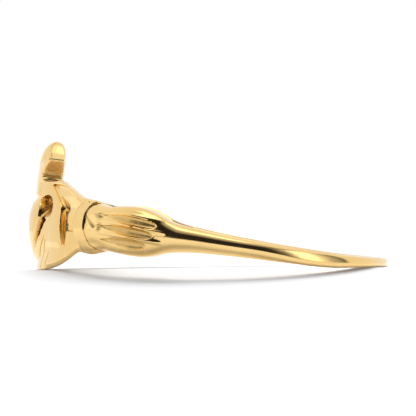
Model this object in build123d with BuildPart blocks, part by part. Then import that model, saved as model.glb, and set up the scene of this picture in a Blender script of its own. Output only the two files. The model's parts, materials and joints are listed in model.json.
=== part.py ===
from build123d import *
import math
import os

# Claddagh ring, cast in one piece: two hands hold a crowned heart, and each wrist runs out
# of a gathered sleeve into a slender shank. Sizes in millimetres.
# The ring is shaped upright in its own frame: the finger's axis is Z, the head looks along -X
# and its crown points up. It is then tipped until it lies on its heart's tip and its shank.

# Finger hole and shank
bore_diameter = 17.3
back_wall = 1.10
back_width = 0.50
shank_bow = 0.30
edge_roundness = 0.75
cut_clearance = 0.4
relief_clearance = 4.0

# Sleeve: the gathered cloth between wrist and shank
sleeve_wall = 1.60
sleeve_width = 2.75
pleat_count = 3
pleat_radius = 0.40
pleat_depth = 0.26
pleat_pitch = 0.66
pleat_start_angle = 51.0
pleat_end_angle = 70.5

# Hem: the raised ribbon round the wrist, bent like a C
hem_angle = 39.3
hem_width = 1.02
hem_wall = 1.62
hem_half_height = 1.45
hem_sweep = 0.85
hem_edge_drop = 0.70

# Wrist: the low ground that carries hands, heart and crown
wrist_wall = 0.78
wrist_angle = 42.0
wrist_half_height = 1.22
shoulder_height = 1.95
tip_drop = 2.74
belly_drop = 0.28

# Hand: its back, its thumb and its fingers
hand_wall = 1.15
thumb_width = 0.80
finger_groove = 0.20
finger_groove_depth = 0.15
underside_slope = 41.0
underside_setback = 0.45

# Heart
heart_half_width = 2.05
heart_top = 1.15
heart_notch = 0.50
heart_wall = 1.85
heart_dome_radius = 3.3
heart_tip_width = 0.50

# Opening between thumb, heart and crown: its side is a share of the heart's half width, and
# its level a share of the shoulder's height
opening_across = 1.30
opening_height = 1.05
opening_side_share = 0.976
opening_level_share = 0.503

# Crown
crown_height = 4.30
crown_foot_half_width = 1.50
crown_stem_half_width = 0.85
crown_tip_radius = 0.29
crown_top_half_width = 2.15
crown_side_point = 3.32
crown_valley = 2.75
crown_face = 0.40
crown_front_wall = 1.45
crown_back_wall = 0.35
crown_inset = 0.14
crown_band_height = 0.30

bore_radius = bore_diameter / 2
outer_limit = bore_radius + relief_clearance
inner_limit = bore_radius - cut_clearance

# Half of the band, from under the hem to the back of the finger. Width and wall are shares
# of the way from the back's size to the sleeve's, and the bow is a share of shank_bow.
BAND_COLUMNS = ("angle", "width", "wall", "bow")
BAND_ROWS = (
    (38.0, 1.02, 0.25, -0.30),
    (43.0, 1.04, 0.62, -0.30),
    (47.0, 1.00, 0.95, -0.30),
    (51.5, 0.86, 0.62, -0.35),
    (57.0, 0.92, 0.82, -0.40),
    (64.0, 1.00, 0.98, -0.40),
    (68.5, 0.92, 0.90, -0.38),
    (72.5, 0.71, 0.60, -0.34),
    (77.0, 0.49, 0.30, -0.28),
    (83.0, 0.35, 0.12, -0.15),
    (92.0, 0.29, 0.05, 0.15),
    (105.0, 0.22, 0.02, 0.55),
    (120.0, 0.15, 0.00, 0.85),
    (134.0, 0.11, 0.00, 0.95),
    (148.0, 0.055, 0.00, 0.50),
    (163.0, 0.01, 0.00, 0.10),
    (180.0, 0.00, 0.00, 0.00),
)

# Creases between the fingers, from knuckle to fingertip: side as a share of the heart's half
# width, height as a share of the tip's drop.
CREASE_COLUMNS = ("knuckle_side", "knuckle_height", "tip_side", "tip_height")
CREASE_ROWS = (
    (0.83, -0.30, 0.34, -0.80),
    (1.17, -0.38, 0.80, -0.90),
    (1.48, -0.55, 1.30, -0.98),
)


def outward(angle):
    """Unit direction away from the finger's axis, at an angle from the front of the head."""
    return Vector(-math.cos(math.radians(angle)), math.sin(math.radians(angle)), 0)


def along(angle):
    """Unit direction round the finger, at the same angle, away from the head."""
    return Vector(math.sin(math.radians(angle)), math.cos(math.radians(angle)), 0)


def cross_plane(angle):
    """Plane through the finger's axis: x is the radius and y is the height."""
    return Plane(origin=(0, 0, 0), x_dir=outward(angle), z_dir=along(angle))


def skin_plane(angle, radius):
    """Plane laid on the band: x runs towards the head and y is the height."""
    return Plane(origin=outward(angle) * radius, x_dir=along(angle) * -1, z_dir=outward(angle))


def band_section(row):
    """Radii and heights of one section of the band."""
    values = dict(zip(BAND_COLUMNS, row))
    half_width = (back_width + (sleeve_width - back_width) * values["width"]) / 2
    wall = back_wall + (sleeve_wall - back_wall) * values["wall"]
    middle = -shank_bow * values["bow"]
    crest = bore_radius + wall
    edge = crest - edge_roundness * half_width
    return edge, crest, middle - half_width, middle, middle + half_width


def band_profile(row, angle):
    """Draw one section of the band: flat inside, half round outside."""
    edge, crest, low, middle, high = band_section(row)
    with BuildSketch(cross_plane(angle)) as section:
        with BuildLine():
            Polyline((edge, high), (inner_limit, high), (inner_limit, low), (edge, low))
            ThreePointArc((edge, low), (crest, middle), (edge, high))
        make_face()
    return section.sketch


def belly_profile(top, bottom, wall, edge_drop):
    """Draw the half section of a drum with a bulging side, between two heights."""
    crest = bore_radius + wall
    edge = crest - edge_drop
    with BuildSketch(Plane.XZ) as profile:
        with BuildLine():
            Polyline((edge, top), (0, top), (0, bottom), (edge, bottom))
            ThreePointArc((edge, bottom), (crest, (top + bottom) / 2), (edge, top))
        make_face()
    return profile.sketch


def leaf_profile(lay, start, end, radius):
    """Draw half a leaf between two points of a plane, to be turned about its own chord."""
    middle = (Vector(*start) + Vector(*end)) * 0.5
    chord = (Vector(*end) - Vector(*start)).normalized()
    swell = middle + Vector(-chord.Y, chord.X) * radius
    with BuildSketch(lay) as profile:
        with BuildLine():
            Line(start, end)
            ThreePointArc(start, (swell.X, swell.Y), end)
        make_face()
    first = lay.from_local_coords(Vector(*start))
    last = lay.from_local_coords(Vector(*end))
    return profile.sketch, Axis(first, last - first)


# Band: shank and both sleeves, one loft from wrist to wrist
near_rows = [(row[0], row) for row in BAND_ROWS]
far_rows = [(360 - row[0], row) for row in reversed(BAND_ROWS[:-1])]
with BuildPart() as band:
    loft([band_profile(row, angle) for angle, row in near_rows + far_rows])

# Pleats: leaf-shaped hollows along the sleeve, each as deep as its place on the swell
pleat_angle = (pleat_start_angle + pleat_end_angle) / 2
pleat_crest = bore_radius + sleeve_wall
pleat_half_turn = math.radians(pleat_end_angle - pleat_start_angle) / 2
pleat_half_length = pleat_crest * math.sin(pleat_half_turn)
with BuildPart() as pleats:
    for index in range(pleat_count):
        level = (index - (pleat_count - 1) / 2) * pleat_pitch
        fall = edge_roundness * 2 * level**2 / sleeve_width
        lay = skin_plane(pleat_angle, pleat_crest - fall + pleat_radius - pleat_depth)
        leaf, chord = leaf_profile(
            lay, (-pleat_half_length, level), (pleat_half_length, level), pleat_radius
        )
        revolve(leaf, chord)

with BuildPart() as hem:
    rim = hem_half_height
    front = (hem_width + hem_sweep) / 2
    back = (hem_sweep - hem_width) / 2
    with BuildSketch(skin_plane(hem_angle, inner_limit)):
        with BuildLine():
            ThreePointArc((front - hem_sweep, rim), (front, 0), (front - hem_sweep, -rim))
            Line((front - hem_sweep, -rim), (back - hem_sweep, -rim))
            ThreePointArc((back - hem_sweep, -rim), (back, 0), (back - hem_sweep, rim))
            Line((back - hem_sweep, rim), (front - hem_sweep, rim))
        make_face()
    extrude(amount=outer_limit - inner_limit)
    revolve(belly_profile(rim, -rim, hem_wall, hem_edge_drop), Axis.Z, mode=Mode.INTERSECT)

head_plane = Plane.YZ.offset(-outer_limit)
wrist_side = (bore_radius + wrist_wall) * math.sin(math.radians(wrist_angle))
shoulder_mid = (shoulder_height + 2 * wrist_half_height) / 3
under_mid = (tip_drop + wrist_half_height) / 2
with BuildPart() as wrist:
    with BuildSketch(head_plane):
        with BuildLine():
            Polyline(
                (0, shoulder_height),
                (0.56 * wrist_side, shoulder_height),
                (0.78 * wrist_side, shoulder_mid),
                (wrist_side, wrist_half_height),
                (wrist_side, -wrist_half_height),
                (0.77 * wrist_side, -under_mid),
                (0.50 * wrist_side, -tip_drop + 0.04),
                (0, -tip_drop),
                close=True,
            )
        make_face()
    extrude(amount=outer_limit)
    ground = belly_profile(shoulder_height, -tip_drop, wrist_wall, belly_drop)
    revolve(ground, Axis.Z, mode=Mode.INTERSECT)

thumb_side = 0.95 * heart_half_width
opening_side = opening_side_share * heart_half_width
opening_level = opening_level_share * shoulder_height
with BuildPart() as hand:
    with BuildSketch(head_plane):
        with BuildLine():
            inner_edge = Spline(
                (thumb_side, shoulder_height),
                (1.23 * heart_half_width, 0.25 * shoulder_height),
                (0.92 * heart_half_width, -0.30 * tip_drop),
                (0.18 * heart_half_width, -0.95 * tip_drop),
            )
            outer_edge = Spline(
                (0.80 * wrist_side, -0.62 * tip_drop),
                (0.73 * wrist_side, 0),
                (0.62 * wrist_side, 0.40 * shoulder_height),
                (thumb_side + thumb_width, shoulder_height),
            )
            Polyline(inner_edge @ 1, (0.48 * wrist_side, -0.97 * tip_drop), outer_edge @ 0)
            Line(outer_edge @ 1, inner_edge @ 0)
        make_face()
    extrude(amount=outer_limit)
    palm = belly_profile(shoulder_height, -tip_drop, hand_wall, belly_drop)
    revolve(palm, Axis.Z, mode=Mode.INTERSECT)

# Heart: its outline, cut from a dome
dome_middle = (heart_top - tip_drop) / 2 + 0.2
with BuildPart() as heart:
    with BuildSketch(head_plane):
        with BuildLine():
            lobe = Spline(
                (0, heart_notch),
                (0.50 * heart_half_width, heart_top),
                (heart_half_width, 0.15 * heart_top),
                (0.62 * heart_half_width, -0.55 * tip_drop),
                (heart_tip_width / 2, -tip_drop),
                tangents=((0.6, 1.0), (-0.6, -0.8)),
            )
            Polyline(lobe @ 1, (0, -tip_drop), lobe @ 0)
        make_face()
        mirror(about=Plane.YZ)
    extrude(amount=outer_limit)
    with Locations((heart_dome_radius - bore_radius - heart_wall, 0, dome_middle)):
        Sphere(heart_dome_radius, mode=Mode.INTERSECT)

# Crown: a face with three points, and a narrower body behind it with a band at its foot
crown_front = -(bore_radius + crown_front_wall)
crown_back = -(bore_radius + crown_back_wall)
crown_depth = crown_back - crown_front
crown_plane = Plane.YZ.offset(crown_front)
valley_side = 0.50 * crown_top_half_width
with BuildPart() as crown:
    with BuildSketch(crown_plane) as crown_face_sketch:
        with BuildLine():
            Polyline(
                (0, heart_notch),
                (crown_stem_half_width, heart_notch),
                (crown_stem_half_width, heart_top),
                (crown_foot_half_width, shoulder_height),
                (crown_top_half_width, crown_side_point),
                (valley_side, crown_valley),
                (0, crown_height),
                close=True,
            )
        make_face()
        mirror(about=Plane.YZ)
    extrude(amount=crown_face)
    with BuildSketch(crown_plane):
        offset(crown_face_sketch.sketch_local, amount=-crown_inset)
    extrude(amount=crown_depth)
    with Locations((crown_back, 0, shoulder_height)):
        Box(
            crown_depth,
            2 * crown_foot_half_width,
            crown_band_height,
            align=(Align.MAX, Align.CENTER, Align.MIN),
        )
    peak = crown_back - crown_depth / 2
    tip_root = crown_height - crown_tip_radius
    with BuildSketch(Plane.XZ):
        with BuildLine():
            Polyline(
                (crown_front, heart_notch),
                (crown_front, crown_side_point),
                (peak - crown_tip_radius, tip_root),
            )
            ThreePointArc(
                (peak - crown_tip_radius, tip_root),
                (peak, crown_height),
                (peak + crown_tip_radius, tip_root),
            )
            Polyline(
                (peak + crown_tip_radius, tip_root),
                (crown_back, crown_side_point),
                (crown_back, heart_notch),
                (crown_front, heart_notch),
            )
        make_face()
    extrude(amount=2 * crown_top_half_width, both=True, mode=Mode.INTERSECT)

# Head: both hands with their openings and creases, then heart and crown between them
with BuildPart() as head:
    add(wrist.part)
    add(hand.part)
    with BuildSketch(head_plane):
        with Locations((opening_side, opening_level)):
            Ellipse(opening_across / 2, opening_height / 2)
    extrude(amount=outer_limit, mode=Mode.SUBTRACT)
    for row in CREASE_ROWS:
        values = dict(zip(CREASE_COLUMNS, row))
        knuckle = (values["knuckle_side"] * heart_half_width, values["knuckle_height"] * tip_drop)
        fingertip = (values["tip_side"] * heart_half_width, values["tip_height"] * tip_drop)
        middle = ((knuckle[0] + fingertip[0]) / 2, (knuckle[1] + fingertip[1]) / 2)
        run = (fingertip[0] - knuckle[0], fingertip[1] - knuckle[1])
        turn = math.degrees(math.atan2(run[1], run[0]))
        floor = math.sqrt((bore_radius + hand_wall) ** 2 - middle[0] ** 2) - finger_groove_depth
        with BuildSketch(head_plane):
            with Locations(Location(middle, turn)):
                Rectangle(math.hypot(*run), finger_groove)
        extrude(amount=outer_limit - floor, mode=Mode.SUBTRACT)
    mirror(about=Plane.XZ)
    add(heart.part)
    add(crown.part)
    tip_back = -(bore_radius + underside_setback)
    rise = wrist_side * math.tan(math.radians(underside_slope))
    with BuildSketch(Plane.XZ):
        with BuildLine():
            Polyline(
                (tip_back, -tip_drop),
                (tip_back + wrist_side, -tip_drop + rise),
                (tip_back + wrist_side, -2 * tip_drop),
                (tip_back, -2 * tip_drop),
                close=True,
            )
        make_face()
    extrude(amount=outer_limit, both=True, mode=Mode.SUBTRACT)

with BuildPart() as upright_ring:
    add(band.part)
    add(pleats.part, mode=Mode.SUBTRACT)
    add(hem.part)
    mirror(pleats.part, about=Plane.XZ, mode=Mode.SUBTRACT)
    mirror(hem.part, about=Plane.XZ)
    add(head.part)
    Cylinder(bore_radius, 4 * crown_height, mode=Mode.SUBTRACT)


def rest_angle():
    """Tilt of the ring when the heart's tip and the shank's lower edge touch the ground."""
    slopes = []
    for row in BAND_ROWS:
        edge, _, low, _, _ = band_section(row)
        reach = -edge * math.cos(math.radians(row[0]))
        slopes.append(math.atan2(low + tip_drop, reach - tip_back))
    return math.degrees(min(slopes))


rest_tilt = rest_angle()
tilted_ring = upright_ring.part.rotate(Axis.Y, rest_tilt)
tilted_box = tilted_ring.bounding_box()
resting_place = Location(
    (-tilted_box.center().X, -tilted_box.center().Y, -tilted_box.min.Z)
)
with BuildPart() as claddagh_ring:
    add(tilted_ring.moved(resting_place))

claddagh_ring.part.label = "claddagh_ring"
os.makedirs("parts", exist_ok=True)
export_step(claddagh_ring.part, "parts/claddagh_ring.step")
print("rest tilt", rest_tilt, "bore centre", resting_place.position)
print("volume", claddagh_ring.part.volume, "solids", len(claddagh_ring.part.solids()))
print("box", claddagh_ring.part.bounding_box())
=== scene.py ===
# %% [markdown]
# # A claddagh ring, cast in yellow gold
# The ring is one casting: a crowned heart held by two hands, whose sleeves run into a slender
# shank. It is rebuilt here in two stages, as a model maker would do it. The head is modelled
# flat, like a wax on a bench, and then bent round the finger. The band is a grid rolled into a
# ring, whose section changes on the way. At the end the two are fused into one body.
#
# The frame gives the finger hole's size, its middle and how far the ring leans at rest. All that
# is drawn here is in millimetres. Lengths along the flat head become true at BENT_AT above the
# finger, which is about half way through the metal.

# %% Frame and measures
import json
import math
import bpy
import numpy as np
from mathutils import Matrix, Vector


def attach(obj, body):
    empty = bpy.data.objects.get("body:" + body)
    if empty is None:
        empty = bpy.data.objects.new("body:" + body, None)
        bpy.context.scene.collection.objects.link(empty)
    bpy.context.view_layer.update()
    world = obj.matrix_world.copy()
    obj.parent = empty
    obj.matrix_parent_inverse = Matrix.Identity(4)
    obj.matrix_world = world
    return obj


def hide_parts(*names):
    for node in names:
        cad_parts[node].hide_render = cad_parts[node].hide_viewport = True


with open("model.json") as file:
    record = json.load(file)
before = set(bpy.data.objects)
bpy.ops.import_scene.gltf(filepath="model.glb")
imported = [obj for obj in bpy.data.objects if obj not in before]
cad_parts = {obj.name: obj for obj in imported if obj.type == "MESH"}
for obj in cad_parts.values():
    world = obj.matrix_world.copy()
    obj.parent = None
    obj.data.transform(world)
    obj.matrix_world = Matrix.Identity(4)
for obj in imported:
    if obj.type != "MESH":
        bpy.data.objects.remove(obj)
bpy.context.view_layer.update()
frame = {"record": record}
finger_hole = frame["record"]["mounts"][0]
BORE = finger_hole["dims"]["r_mm"]
MM = 0.001
BENT_AT = 0.95
REST_TILT = math.atan2(finger_hole["axis"][0], finger_hole["axis"][2])
HOLE_CENTRE = np.array(finger_hole["pos_m"])
WRAP_RADIUS = BORE + BENT_AT
print("finger hole radius", BORE, "mm, resting tilt", round(math.degrees(REST_TILT), 2), "degrees")

# %% [markdown]
# ## Tools
# Everything is first made in the ring's own frame, in millimetres: the finger's axis is Z, the
# head looks along -X, and the crown points up. A few helpers keep the steps short. Those that
# add or pick a piece first deselect all, because the loaded model is still selected. Where a
# shape changes softly, `ease` makes the change, and a named pair of values says where the change
# starts and where it ends.

# %% Selecting and applying
def clear_selection():
    """Leave object mode tidy, with nothing selected."""
    if bpy.context.object and bpy.context.object.mode != "OBJECT":
        bpy.ops.object.mode_set(mode="OBJECT")
    bpy.ops.object.select_all(action="DESELECT")


def activate(piece):
    """Select one piece alone."""
    clear_selection()
    piece.select_set(True)
    bpy.context.view_layer.objects.active = piece


def points_of(piece):
    """Return the piece's vertices as rows of an array."""
    data = np.empty(len(piece.data.vertices) * 3)
    piece.data.vertices.foreach_get("co", data)
    return data.reshape(-1, 3)


def place_points(piece, points):
    """Move the piece's vertices to new places."""
    piece.data.vertices.foreach_set("co", np.ascontiguousarray(points).ravel())
    piece.data.update()


def apply_modifier(piece, kind, **settings):
    """Add one modifier with its settings and apply it."""
    activate(piece)
    modifier = piece.modifiers.new(kind.title(), kind)
    for name, value in settings.items():
        setattr(modifier, name, value)
    bpy.ops.object.modifier_apply(modifier=modifier.name)


def combine(piece, tool, operation):
    """Unite, cut or intersect a piece with a tool, which is used up."""
    apply_modifier(piece, "BOOLEAN", operation=operation, object=tool, solver="MANIFOLD")
    bpy.data.objects.remove(tool, do_unlink=True)
    return piece


def triangles(piece):
    """Count the piece's triangles."""
    piece.data.calc_loop_triangles()
    return len(piece.data.loop_triangles)


def ease(values, start, end):
    """Ease from 0 at start to 1 at end."""
    share = np.clip((values - start) / (end - start), 0, 1)
    return share * share * (3 - 2 * share)


def smooth_interp(at, knots, values):
    """Read a table with a smooth, never overshooting curve between its rows."""
    knots, values = np.array(knots), np.array(values)
    steps = np.diff(knots)
    slopes = np.diff(values) / steps
    tangent = np.zeros_like(values)
    before, after = slopes[:-1], slopes[1:]
    same = before * after > 0
    tangent[1:-1][same] = 2 * before[same] * after[same] / (before + after)[same]
    cell = np.clip(np.searchsorted(knots, at) - 1, 0, len(steps) - 1)
    step = steps[cell]
    t = (at - knots[cell]) / step
    start = values[cell] * (1 + 2 * t) + tangent[cell] * step * t
    end = values[cell + 1] * (3 - 2 * t) + tangent[cell + 1] * step * (t - 1)
    return start * (1 - t) ** 2 + end * t**2


def lower_of(first, second, softness):
    """Take the lower of two surfaces, with a soft change from one to the other."""
    near = np.maximum(softness - np.abs(first - second), 0)
    return np.minimum(first, second) - 0.25 * near**2 / softness


print("tools ready")

# %% [markdown]
# ## The bench: flat forms for the head
# On the bench, `side` is the distance round the finger from the middle of the head, `level` is
# the height along the finger, and `rise` is the height above the finger. Every form of the head
# is a block with a smooth outline, whose top is carved by a shaped slab. Blocks cut from drawn
# outlines keep their walls clean and steep, as in a wax that is cut with a knife.

# %% Blocks and slabs
CURVE_STEPS = 8
OUTLINE_MARGIN = 0.3
BLOCK_TOP = 4.0
SLAB_BELOW = 0.2
FINE_STEP = 0.05
COARSE_STEP = 0.1


def smooth_line(corners, closed):
    """Draw a smooth curve through the corner points."""
    corners = np.array(corners, dtype=float)
    count = len(corners)
    drawn = []
    for index in range(count if closed else count - 1):
        if closed:
            before, start, end, after = (corners[(index + k) % count] for k in (-1, 0, 1, 2))
        else:
            before, start = corners[max(index - 1, 0)], corners[index]
            end, after = corners[index + 1], corners[min(index + 2, count - 1)]
        for step in range(CURVE_STEPS):
            t = step / CURVE_STEPS
            drawn.append(
                0.5 * (2 * start + (end - before) * t
                       + (2 * before - 5 * start + 4 * end - after) * t**2
                       + (3 * start - before - 3 * end + after) * t**3)
            )
    if not closed:
        drawn.append(corners[-1])
    return np.array(drawn)


def turn_faces_out(piece):
    """Let all faces of a closed piece look outwards."""
    activate(piece)
    bpy.ops.object.mode_set(mode="EDIT")
    bpy.ops.mesh.select_all(action="SELECT")
    bpy.ops.mesh.normals_make_consistent(inside=False)
    bpy.ops.object.mode_set(mode="OBJECT")


def outline_block(name, outline, low, high):
    """Raise a block with upright walls on a closed outline."""
    clear_selection()
    bpy.ops.mesh.primitive_circle_add(vertices=len(outline), radius=1, fill_type="NGON")
    block = bpy.context.object
    block.name = name
    place_points(block, np.column_stack([outline, np.full(len(outline), low)]))
    bpy.ops.object.mode_set(mode="EDIT")
    bpy.ops.mesh.select_all(action="SELECT")
    bpy.ops.mesh.extrude_region_move(TRANSFORM_OT_translate={"value": (0, 0, high - low)})
    turn_faces_out(block)
    return block


def carved_slab(name, top, sides, levels, step, low):
    """Shape a grid by its rise at each place, and thicken it down to a flat foot."""
    clear_selection()
    columns = int((sides[1] - sides[0]) / step)
    rows = int((levels[1] - levels[0]) / step)
    bpy.ops.mesh.primitive_grid_add(x_subdivisions=columns, y_subdivisions=rows, size=1)
    slab = bpy.context.object
    slab.name = name
    place = points_of(slab)
    place[:, 0] = (sides[0] + sides[1]) / 2 + place[:, 0] * (sides[1] - sides[0])
    place[:, 1] = (levels[0] + levels[1]) / 2 + place[:, 1] * (levels[1] - levels[0])
    place[:, 2] = top(place[:, 0], place[:, 1])
    place_points(slab, place)
    bpy.ops.object.mode_set(mode="EDIT")
    bpy.ops.mesh.select_all(action="SELECT")
    bpy.ops.mesh.extrude_region_move()
    bpy.ops.transform.resize(value=(1, 1, 0), center_override=(0, 0, low))
    turn_faces_out(slab)
    return slab


def carved_form(name, corners, top, low, step=FINE_STEP):
    """Cut one form of the head: a drawn outline, with a carved top."""
    outline = smooth_line(corners, True)
    lowest = outline.min(axis=0) - OUTLINE_MARGIN
    highest = outline.max(axis=0) + OUTLINE_MARGIN
    block = outline_block(name, outline, low, BLOCK_TOP)
    slab = carved_slab(
        name + "_top", top, (lowest[0], highest[0]), (lowest[1], highest[1]), step, low - SLAB_BELOW
    )
    return combine(block, slab, "INTERSECT")


def other_half(piece, name):
    """Copy a form of the near half to the far half."""
    activate(piece)
    bpy.ops.object.duplicate()
    twin = bpy.context.object
    twin.name = name
    place = points_of(twin)
    place[:, 0] *= -1
    place_points(twin, place)
    turn_faces_out(twin)
    return twin


print("bench ready: a curve has", CURVE_STEPS, "steps from corner to corner")

# %% [markdown]
# ## Edges that are drawn in the side view
# The head's upper and lower edges are best known from the side, as a jeweller checks them
# against a drawing. Each is a line of places: how far forward on the ring, and how high. A
# form is trimmed along such a line by a block whose face follows it.

# %% Trimming
UPPER_EDGE = [
    # place along X, level
    (-10.6, 2.18), (-9.40, 2.18), (-8.92, 2.32), (-8.65, 2.22), (-8.15, 1.84), (-7.77, 1.57),
    (-7.50, 1.44), (-7.16, 1.42), (-6.94, 1.41), (-6.60, 1.34), (-6.20, 1.22), (-5.20, 1.10),
]
LOWER_EDGE = [
    # place along X, level
    (-10.6, -2.95), (-9.35, -2.79), (-8.85, -2.64), (-8.42, -2.41), (-8.01, -2.07),
    (-7.62, -1.66), (-7.45, -1.52), (-7.26, -1.50), (-7.03, -1.54), (-6.80, -1.56),
    (-6.58, -1.54), (-6.36, -1.47), (-6.00, -1.32), (-5.20, -1.20),
]
TRIM_SIDES = (-9.0, 9.0)
TRIM_RISES = (-0.6, 2.6)
TRIM_REACH = 6.0


def edge_level(edge, side, rise):
    """Read the level of a drawn edge at a place of the flat head."""
    forward = -(BORE + rise) * np.cos(side / WRAP_RADIUS)
    return np.interp(forward, *zip(*edge))


def trim(piece, edge, away):
    """Cut off what lies beyond a drawn edge."""
    trimmer = carved_slab(
        "trimmer", lambda side, rise: edge_level(edge, side, rise),
        TRIM_SIDES, TRIM_RISES, COARSE_STEP, away,
    )
    place_points(trimmer, points_of(trimmer)[:, [0, 2, 1]])
    turn_faces_out(trimmer)
    combine(piece, trimmer, "DIFFERENCE")


def line_distance(side, level, line):
    """Measure how far each place is from a drawn line."""
    best = np.full(side.shape, np.inf)
    for (x1, y1), (x2, y2) in zip(line[:-1], line[1:]):
        dx, dy = x2 - x1, y2 - y1
        t = np.clip(((side - x1) * dx + (level - y1) * dy) / (dx * dx + dy * dy), 0, 1)
        best = np.minimum(best, np.hypot(side - x1 - t * dx, level - y1 - t * dy))
    return best


print("edge lines:", len(UPPER_EDGE), "and", len(LOWER_EDGE), "places")

# %% [markdown]
# ## The wrist
# The low ground of the head: on the real ring it is the wrist, which carries the hand, the heart
# and the crown. Beside the thumb it is hollowed. Below the hollow's slanting foot its middle
# leans a little towards the hem, so it catches the light. At the bottom a flat plate joins hand
# and hem. Its near half is drawn and mirrored, because both halves of the head are alike.

# %% Wrist
FOOT = 0.0
WRIST_LINE = [
    # side, level
    (-0.6, 2.10), (1.5, 2.12), (3.0, 2.24), (4.1, 2.45), (5.0, 2.35), (5.8, 2.10), (7.2, 1.70),
    (7.3, 0.0), (7.2, -1.70), (6.2, -1.95), (5.4, -2.40), (4.6, -2.80), (3.6, -2.95),
    (1.4, -2.95), (-0.6, -2.95),
]
HAND_EDGE = [
    # side, level
    (2.73, 2.20), (2.78, 1.98), (3.47, 1.57), (3.92, 1.31), (4.40, 0.91), (4.52, 0.56),
    (4.56, 0.00), (4.66, -0.45), (4.92, -1.00), (5.20, -1.36),
]
RECESS_FOOT = ((4.2, 0.86), (5.6, 0.38))
RECESS_RISE = 0.82
RECESS_SWELL = 0.08
RECESS_SWELL_FROM_HAND = (0.3, 1.6)
RIM_SWELL = 0.12
RIM_SWELL_LEVELS = (0.8, 1.5)
FOOT_SOFTNESS = (-0.04, 0.06)
MIDDLE_RISE = 0.80
MIDDLE_STEP = 0.14
MIDDLE_STEP_SIDES = (4.9, 5.05)
MIDDLE_FALL = 0.17
MIDDLE_SIDES = (5.1, 6.4)
PLATE_RISE = 1.10
PLATE_SIDES = (5.20, 5.30)
PLATE_DEPTHS = (0.38, 0.46)
PLATE_DEPTHS_BELOW_SLOT = (1.28, 1.42)
BEVEL_WIDTH = 0.30
BEVEL_DEPTH = 0.20
BEVEL_SIDES = (2.6, 3.6)
BEVEL_RISE = 1.0


def lower_bevel(side, level):
    """Bevel the lower edge of hand and wrist."""
    above = level - edge_level(LOWER_EDGE, side, BEVEL_RISE)
    return BEVEL_DEPTH * (1 - ease(above, 0.0, BEVEL_WIDTH)) * ease(side, *BEVEL_SIDES)


def wrist_top(side, level):
    """Give the ground's rise: recess, middle and plate."""
    side = np.abs(side)
    from_hand = line_distance(side, level, HAND_EDGE)
    recess = RECESS_RISE + RECESS_SWELL * ease(from_hand, *RECESS_SWELL_FROM_HAND)
    recess += RIM_SWELL * ease(level, *RIM_SWELL_LEVELS)
    middle = MIDDLE_RISE + MIDDLE_STEP * ease(side, *MIDDLE_STEP_SIDES)
    middle -= MIDDLE_FALL * (np.clip(side, *MIDDLE_SIDES) - MIDDLE_SIDES[0])
    (x1, y1), (x2, y2) = RECESS_FOOT
    above_foot = level - y1 - (y2 - y1) * (side - x1) / (x2 - x1)
    top = middle + (recess - middle) * ease(above_foot, *FOOT_SOFTNESS)
    beside_slot = ease(-level, *PLATE_DEPTHS) * ease(side, *PLATE_SIDES)
    plate = np.maximum(beside_slot, ease(-level, *PLATE_DEPTHS_BELOW_SLOT))
    return top + (PLATE_RISE - top) * plate - lower_bevel(side, level)


ground = carved_form("wrist", WRIST_LINE, wrist_top, FOOT)
combine(ground, other_half(ground, "far_wrist"), "UNION")
print("wrist:", triangles(ground), "triangles")

# %% [markdown]
# ## The rim and the slot
# A thin rim runs along the upper edge of the wrist. Between the hand and the plate the wrist is
# sunk to a pointed slot. Both are narrow blocks with upright walls, one added and one taken
# away, because a graver leaves such clean walls in the wax.

# %% Rim and slot
RIM_LINE = [
    # side, level
    (2.3, 2.40), (4.1, 2.60), (5.0, 2.45), (5.8, 2.2), (7.0, 1.7), (7.0, 1.10), (6.36, 1.30),
    (5.90, 1.50), (5.50, 1.68), (5.00, 1.88), (4.50, 2.01), (3.80, 2.06), (2.3, 2.06),
]
RIM_RISE = 1.12
SLOT_LINE = [
    # side, level
    (4.30, 0.72), (4.60, 0.74), (4.86, 0.66), (5.00, 0.38), (5.11, 0.02), (5.16, -0.50),
    (5.18, -0.95), (5.15, -1.30), (5.04, -1.42), (4.80, -1.15), (4.50, -0.60), (4.35, 0.00),
]
SLOT_FLOOR = 0.68
ABOVE_ALL = 2.0


def both_sides(target, corners, low, high, operation, name):
    """Add or cut the same block on both halves of the head."""
    for sign in (1, -1):
        outline = smooth_line(corners, True) * np.array([sign, 1])
        combine(target, outline_block(name, outline, low, high), operation)


both_sides(ground, RIM_LINE, FOOT, RIM_RISE, "UNION", "rim")
both_sides(ground, SLOT_LINE, SLOT_FLOOR, ABOVE_ALL, "DIFFERENCE", "slot")
print("wrist with rims and slots:", triangles(ground), "triangles")

# %% [markdown]
# ## The hands
# Each hand is one broad form: its thumb goes up to the crown, its palm holds the heart, and its
# fingers close under the heart. The two thumbs meet under the crown in one smooth collar. The
# form is highest beside the heart and falls away towards the wrist and the fingertips, where it
# stays just below the heart. Between palm and heart the hand is sunk to a small nook.

# %% Hands
HAND_LINE = [
    # side, level
    (-0.30, 2.17), (1.00, 2.17), (2.00, 2.18), *HAND_EDGE, (5.70, -1.70), (5.40, -2.20),
    (4.60, -2.80), (3.60, -2.92), (2.80, -2.88), (1.30, -2.80), (0.30, -2.80), (0.48, -2.45),
    (1.05, -1.80), (1.55, -1.20), (1.94, -0.79), (2.19, -0.37), (2.50, 0.10), (2.40, 0.70),
    (1.80, 1.20), (1.30, 1.16), (0.80, 0.85), (-0.30, 0.40),
]
NOOK_LINE = [
    # side, level
    (1.45, 0.10), (2.52, 0.11), (2.38, -0.12), (2.17, -0.40), (1.94, -0.80), (1.70, -0.85),
    (1.50, -0.40),
]
NOOK_FLOOR = 0.72
HAND_RISE = 1.17
HAND_DOME = 0.47
HAND_DOME_SIDES = (0.1, 3.3)
FINGER_FALL = 0.50
FINGER_DEPTHS = (0.9, 3.3)
UNDER_HEART = 0.02
UNDER_HEART_SOFTNESS = 0.2
EDGE_ROLL_WIDTH = 0.30
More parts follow.
